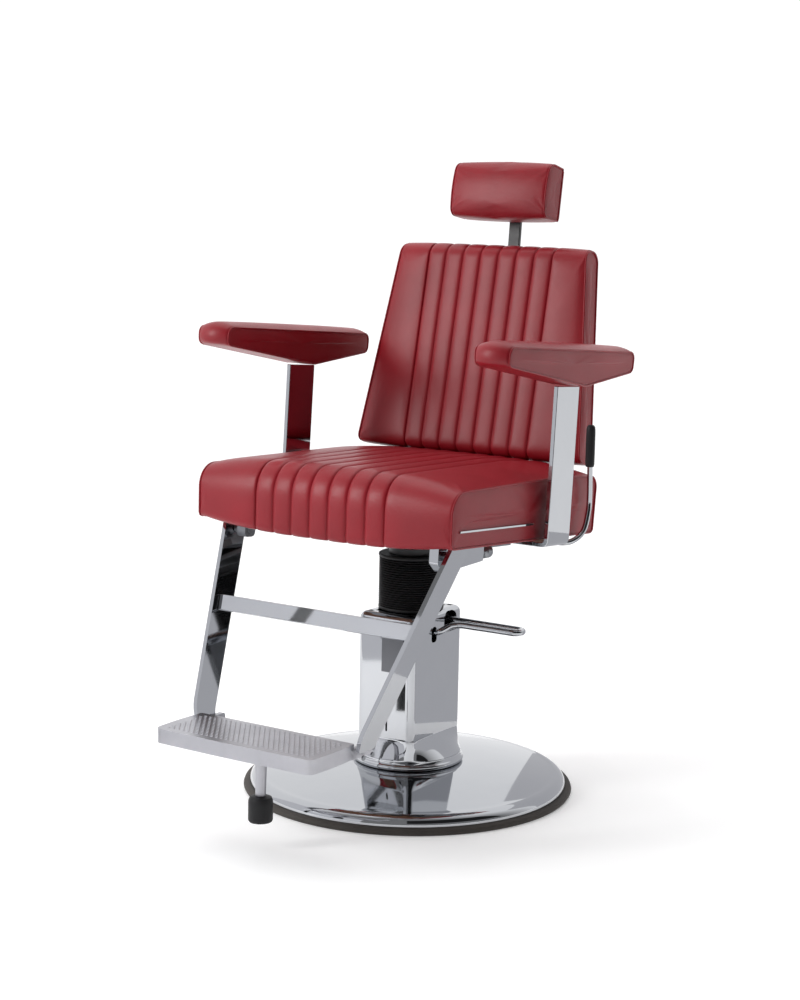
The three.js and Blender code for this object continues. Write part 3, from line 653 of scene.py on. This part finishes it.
footZ = coverShape["foot"]
bell = {"low": 72, "high": 112, "crease": 107, "spread": 38}
bellZ = np.linspace(bell["low"], bell["high"], 16)
bellW = np.clip((bell["crease"] - bellZ) / bell["spread"], 0, 1) ** 1.1
lip = np.linspace(-0.5 * np.pi, 0.5 * np.pi, 9)
lipZ, lipIn = footZ + 5 + 5 * np.sin(lip), 3.5 * (1 - np.cos(lip))
neckZ, neckW = np.array([footZ + 10.8, 67, 69.5]), np.array([1.0, 0.97, 0.92])
shoulderA = np.linspace(0, 0.5 * np.pi, 9)
shoulderZ, shoulderIn = 325 + 13 * np.sin(shoulderA), 13 * (1 - np.cos(shoulderA))
outZ = np.concatenate([lipZ, neckZ, bellZ, [160, 220, 280], shoulderZ, [338, 338]])
outIn = np.concatenate([lipIn, [4.2, 4.0, 3.5], np.linspace(3, 0, 16), [0, 0, 0], shoulderIn, [19, 22.6]])
outW = np.concatenate([np.ones(9), neckW, bellW, np.zeros(14)])
outside = coverRings(outZ, outIn, outW)
insideZ = np.array([335, 335, 322, 280, 220, 160, 112, 96, 84, 76, 70, 58, footZ])
insideIn = np.array([22.6, 14, 4, 3, 3, 3, 3, 5, 8, 10, 9, 7.5, 7.0])
insideW = np.array([0, 0, 0, 0, 0, 0, 0, 0.05, 0.22, 0.5, 0.85, 1, 1.0])
coverPoints = np.vstack([outside, coverRings(insideZ, insideIn, insideW)])
coverFaces = ringFaces(*coverPoints.shape[:2], closedAlong=True)
cover = makePiece("pump_cover_shell", coverPoints.reshape(-1, 3), coverFaces, "base", "chrome", 50,
                  ["pump_cover"])


def cutAway(piece, cutters):
    # Each cutter is a flat loop (across, height) drawn out along X or Y; it is taken out of the mesh
    for axis, loop, start, end in cutters:
        ends = []
        for place in (start, end):
            along = np.full(len(loop), place)
            across, upward = loop.T
            ends.append(np.stack([along, across, upward] if axis == "X" else [across, along, upward], -1))
        rings = np.stack(ends)
        mesh = bpy.data.meshes.new("cutter")
        points, faces = tubeOfRings(rings)
        mesh.from_pydata((points * mm).tolist(), [], faces)
        work = bmesh.new()
        work.from_mesh(mesh)
        bmesh.ops.recalc_face_normals(work, faces=work.faces)
        work.to_mesh(mesh)
        work.free()
        cutter = bpy.data.objects.new("cutter", mesh)
        bpy.context.scene.collection.objects.link(cutter)
        boolean = piece.modifiers.new("Boolean", "BOOLEAN")
        boolean.operation, boolean.object, boolean.solver = "DIFFERENCE", cutter, "EXACT"
        bpy.context.view_layer.update()
        result = bpy.data.meshes.new_from_object(piece.evaluated_get(bpy.context.evaluated_depsgraph_get()))
        piece.modifiers.clear()
        piece.data = result
        bpy.data.objects.remove(cutter)


cutAway(cover, [
    ("X", roundedLoop([(20, 295), (62, 295), (62, 333, 15), (20, 333, 15)], 60), 40, 70),
    ("X", roundedLoop([(-21.5, 283, 6), (-4.5, 283, 6), (-4.5, 312, 8), (-21.5, 312, 8)], 48), 40, 70),
    ("Y", roundedLoop([(4, 122, 1.4), (8, 122, 1.4), (8, 143, 1.4), (4, 143, 1.4)], 24), -90, -70),
])
cover.data.shade_smooth()
cover.data.set_sharp_from_angle(angle=math.radians(40))
print("base and cover made")

# Bellows: fine folds with a thicker cuff at each end; the folds are attached to neither the base nor the lift
folds = 21
height = np.linspace(345, 434, folds * 8 + 1)
wave = 0.5 - 0.5 * np.cos((height - 345) / 89 * folds * 2 * np.pi)
bellowsOuter = np.stack([55.6 + 4.2 * wave**0.8, height], -1)
bellowsLoop = np.vstack([bellowsOuter, [[50, 434], [50, 345]]])
bellowsSpan = ("base", "lift", (0, 0, 0.345), (0, 0, 0.434))
makePiece("bellows_folds", *lathe(bellowsLoop, 96), bellowsSpan, "black_rubber", 80, ["bellows"])
cuff = roundedLoop([(43, 338.4, 1), (60, 338.4, 2), (60, 344.6, 2), (43, 344.6, 1)], 40)
makePiece("bellows_cuff_low", *lathe(cuff, 96), "base", "black_rubber", 60, ["bellows_clamp_lower"])
cuff = roundedLoop([(28.4, 434.4, 1), (60.5, 434.4, 2.4), (61, 440.8, 2.4), (28.4, 440.8, 1)], 40)
makePiece("bellows_cuff_high", *lathe(cuff, 96), "lift", "black_rubber", 60, ["bellows_clamp_upper"])

# Pump pedal: a looped rod; release lever: a rod turned up beside the seat, with a rubber grip
pedalShape = {"axisX": 36, "axisZ": 317, "rearY": 41, "frontY": 13, "slotY": -13, "reach": 206, "radius": 6}
p = pedalShape
loopR = (p["rearY"] - p["frontY"]) / 2
bendA = np.radians(np.linspace(90, -90, 7))
bend = np.stack([p["reach"] + loopR * np.cos(bendA), p["frontY"] + loopR + loopR * np.sin(bendA),
                 np.full(7, p["axisZ"])], -1)
route = [*([x, p["rearY"], p["axisZ"]] for x in (p["axisX"] + 11.4, 100, 170)),
         *bend.tolist(), [170, p["frontY"] - 0.5, p["axisZ"]], [130, p["frontY"] - 2, p["axisZ"]],
         [104, p["frontY"] - 4, p["axisZ"]], [86, p["frontY"] - 12, p["axisZ"] - 3],
         *([x, p["slotY"], p["axisZ"] - down] for x, down in ((73, 12), (62, 15), (51, 15)))]
path = smoothPath(route, 8)
makePiece("pump_pedal_rod", *tubeOfRings(sweptTube(path, p["radius"], (0, 0, 1), 24)), "pedal", "chrome", 50,
          ["pump_pedal"])

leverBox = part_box("release_lever")
leverShape = {"x": 281, "footY": leverBox[0].y / mm + 5.2, "footZ": 475.6, "radius": 5, "top": 608.7}
p = leverShape
route = [*([x, p["footY"], p["footZ"]] for x in (150, 185, 220)),
         [258, p["footY"] + 3, p["footZ"] - 1], [274, p["footY"] + 18, p["footZ"] + 4],
         [p["x"], p["footY"] + 40, p["footZ"] + 20],
         *([p["x"], y, z] for y, z in ((150, 530), (152, 556), (151, 584))),
         [p["x"], 150, p["top"]]]
leverTube = sweptTube(smoothPath(route, 10), p["radius"], (0, 1, 0), 20)
makePiece("release_lever_rod", *tubeOfRings(leverTube), "lever", "chrome", 50, ["release_lever"])
gripR = np.array([6.6, 7.6, 8.2, 8.4, 8.4, 8.2, 7.2, 5.4, 2.6])
gripZ = np.array([609, 610, 614, 624, 668, 676, 681.5, 684, 685])
gripPoints, gripFaces = openLathe(np.stack([gripR, gripZ], -1), 40)
makePiece("release_grip_rubber", gripPoints + np.array([281, 149, 0]), gripFaces, "lever", "black_rubber", 50,
          ["release_grip"])
print("levers made")

# Foot plate: the cast tray with rows of low studs on its tread
plateShape = {"half": 146, "front": -512, "rear": -418, "top": 198, "pitchX": 10.4, "pitchY": 7.2,
              "rise": 0.6}
refined("foot_plate", 3.2, 40, "foot_plate_cast")


def treadStuds(shape):
    # Low four-sided studs in staggered rows: one stud's corners repeated at every place on the tread
    columns = np.arange(-shape["half"], shape["half"] + 1, shape["pitchX"])
    rows = np.arange(shape["front"], shape["rear"] + 1, shape["pitchY"])
    gx, gy = np.meshgrid(columns, rows)
    gx = gx + (np.arange(len(rows)) % 2)[:, None] * shape["pitchX"] / 2
    keep = (np.abs(gx) < shape["half"] + 2)
    centres = np.stack([gx[keep], gy[keep], np.full(keep.sum(), shape["top"])], -1)
    signs = np.array([(-1, -1), (1, -1), (1, 1), (-1, 1)], float)
    low = np.concatenate([signs * (3.4, 1.9), np.full((4, 1), -0.4)], 1)
    high = np.concatenate([signs * (2.4, 1.0), np.full((4, 1), shape["rise"])], 1)
    stud = np.vstack([low, high])
    points = (centres[:, None] + stud[None]).reshape(-1, 3)
    faces = np.array([(0, 1, 5, 4), (1, 2, 6, 5), (2, 3, 7, 6), (3, 0, 4, 7), (4, 5, 6, 7), (3, 2, 1, 0)])
    return points, (faces[None] + 8 * np.arange(len(centres))[:, None, None]).reshape(-1, 4)


makePiece("foot_plate_tread", *treadStuds(plateShape), "footrest", "cast_aluminium", 30)
propY = -447
propPoints, propFaces = openLathe([(8.4, 90.2), (8.8, 92), (10, 140), (12, 185), (13.5, 190.6)], 40)
makePiece("prop_rod_cast", propPoints + np.array([0, propY, 0]), propFaces, "footrest", "cast_aluminium", 50,
          ["prop_rod"])
footProfile = [(17, 45), (19.4, 45.8), (21, 49), (21, 78), (20.6, 83), (18.6, 87.6), (12, 89.4)]
footPoints, footFaces = openLathe(footProfile, 48)
makePiece("prop_foot_rubber", footPoints + np.array([0, propY, 0]), footFaces, "footrest", "black_rubber", 50,
          ["prop_foot"])

# Everything else keeps its CAD shape with softened edges
softened = {"arm_post_left": 1.2, "arm_post_right": 1.2, "footrest_bar_left": 1.2, "footrest_bar_right": 1.2,
            "cross_bar": 1.0, "side_trim": 0.5, "hanger_left": 1.6, "hanger_right": 1.6, "headrest_bar": 1.2,
            "headrest_hinge": 1.2, "headrest_guide": 1.5, "rating_plate": 0.3, "pedal_hub": 0.8}
done = {"seat_cushion", "back_cushion", "headrest_pad", "arm_pad_left", "arm_pad_right", "back_panel",
        "headrest_board", "base_plate", "base_rim", "pump_cover", "bellows", "bellows_clamp_lower",
        "bellows_clamp_upper", "pump_pedal", "release_lever", "release_grip", "foot_plate", "prop_rod",
        "prop_foot"}
for nodeName in sorted(nodes):
    if nodeName not in done:
        refined(nodeName, softened.get(nodeName, 0.5))
print("all CAD nodes finished")

# Studio: a white floor under a surround that is bright behind the chair and grey ahead of it
studio = {"floor": 0.88, "floorGlow": 0.22, "bright": 1.06, "shade": 0.24, "sunPower": 1.0, "sunAngle": 70}
floorMesh = bpy.data.meshes.new("studioFloor")
floorMesh.from_pydata([(-14, -14, 0), (14, -14, 0), (14, 14, 0), (-14, 14, 0)], [], [(0, 1, 2, 3)])
floor = bpy.data.objects.new("studioFloor", floorMesh)
bpy.context.scene.collection.objects.link(floor)
floorFinish = Finish("paleFloor", (studio["floor"],) * 3, 0.6, Specular_IOR_Level=0.2,
                     Emission_Color=(1, 1, 1, 1), Emission_Strength=studio["floorGlow"])
floorFinish.feed("Roughness", floorFinish.noise(3) * 0.1 + 0.55)
floorMesh.materials.append(floorFinish.material)

# Surround: a direction's level rises with how far it points to the backdrop, bright behind, shaded in front
world = bpy.data.worlds.new("studioSurround")
bpy.context.scene.world = world
world.use_nodes = True
tree = world.node_tree
tree.nodes.clear()
output = tree.nodes.new("ShaderNodeOutputWorld")
background = tree.nodes.new("ShaderNodeBackground")
coordinates = tree.nodes.new("ShaderNodeTexCoord")
split = tree.nodes.new("ShaderNodeSeparateXYZ")
tree.links.new(coordinates.outputs["Generated"], split.inputs[0])
eastward, northward, upward = (Wire(tree, split.outputs[k]) for k in range(3))
facing = eastward * -0.55 + northward * 0.83
ramp = tree.nodes.new("ShaderNodeValToRGB")
for element, (place, shade) in zip(ramp.color_ramp.elements, ((0.35, studio["shade"]), (0.62, 1.0))):
    element.position, element.color = place, (shade, shade, shade * 1.01, 1)
tree.links.new((facing * 0.5 + 0.5).socket, ramp.inputs[0])
tree.links.new(ramp.outputs[0], background.inputs[0])
background.inputs[1].default_value = studio["bright"]
tree.links.new(background.outputs[0], output.inputs[0])

lamps = [
    {"name": "frontPanel", "at": (-2.3, -3.1, 2.1), "aim": (0, 0.2, 0.9), "size": (0.9, 1.6), "watts": 66},
    {"name": "topPanel", "at": (-0.6, 0.4, 3.6), "aim": (0, 0, 0.4), "size": (2.4, 2.0), "watts": 12},
]
for lamp in lamps:
    data = bpy.data.lights.new(lamp["name"], "AREA")
    data.shape, (data.size, data.size_y), data.energy = "RECTANGLE", lamp["size"], lamp["watts"]
    panel = bpy.data.objects.new(lamp["name"], data)
    bpy.context.scene.collection.objects.link(panel)
    place = Vector(lamp["at"])
    aim = (place - Vector(lamp["aim"])).to_track_quat("Z", "Y").to_matrix().to_4x4()
    aim.translation = place
    panel.matrix_world = aim
# Cards out of sight give the plated faces something grey or dark to reflect; the flag also shades one side
cards = [
    {"name": "lowCard", "at": (0.24, 0.36, 0.23), "facing": (-0.55, -0.83, 0), "size": (0.6, 0.44),
     "level": 0.62},
    {"name": "frontCard", "at": (-0.6, -0.95, 0.6), "facing": (0.55, 0.83, 0), "size": (1.7, 1.2),
     "level": 0.8},
    {"name": "darkCard", "at": (-0.3, -0.6, 0.6), "facing": (0.35, 0.94, 0), "size": (0.03, 1.2),
     "level": 0.03},
    {"name": "blackFlag", "at": (1.3, -0.55, 1.15), "facing": (-0.9, 0.45, 0), "size": (1.8, 1.5),
     "level": 0.02},
]
for card in cards:
    cardMesh = bpy.data.meshes.new(card["name"])
    wide, high = (c / 2 for c in card["size"])
    corners = [(-wide, -high, 0), (wide, -high, 0), (wide, high, 0), (-wide, high, 0)]
    cardMesh.from_pydata(corners, [], [(0, 1, 2, 3)])
    panel = bpy.data.objects.new(card["name"], cardMesh)
    bpy.context.scene.collection.objects.link(panel)
    turn = Vector(card["facing"]).to_track_quat("Z", "Y").to_matrix().to_4x4()
    turn.translation = Vector(card["at"])
    panel.matrix_world = turn
    shade = (card["level"], card["level"], card["level"] * 1.04)
    cardMesh.materials.append(Finish(card["name"], (0, 0, 0), 1.0, Specular_IOR_Level=0.0,
                                     Emission_Color=(*shade, 1), Emission_Strength=1.0).material)
    panel.visible_camera = panel.visible_shadow = panel.visible_transmission = False
    panel.visible_diffuse = card["name"] == "blackFlag"
sunData = bpy.data.lights.new("softSun", "SUN")
sunData.energy, sunData.angle = studio["sunPower"], math.radians(studio["sunAngle"])
sun = bpy.data.objects.new("softSun", sunData)
bpy.context.scene.collection.objects.link(sun)
sun.matrix_world = Vector((-0.35, -0.25, 1)).to_track_quat("Z", "Y").to_matrix().to_4x4()
sun.visible_glossy = False
bpy.context.scene.view_settings.view_transform = "Standard"
print("studio made")
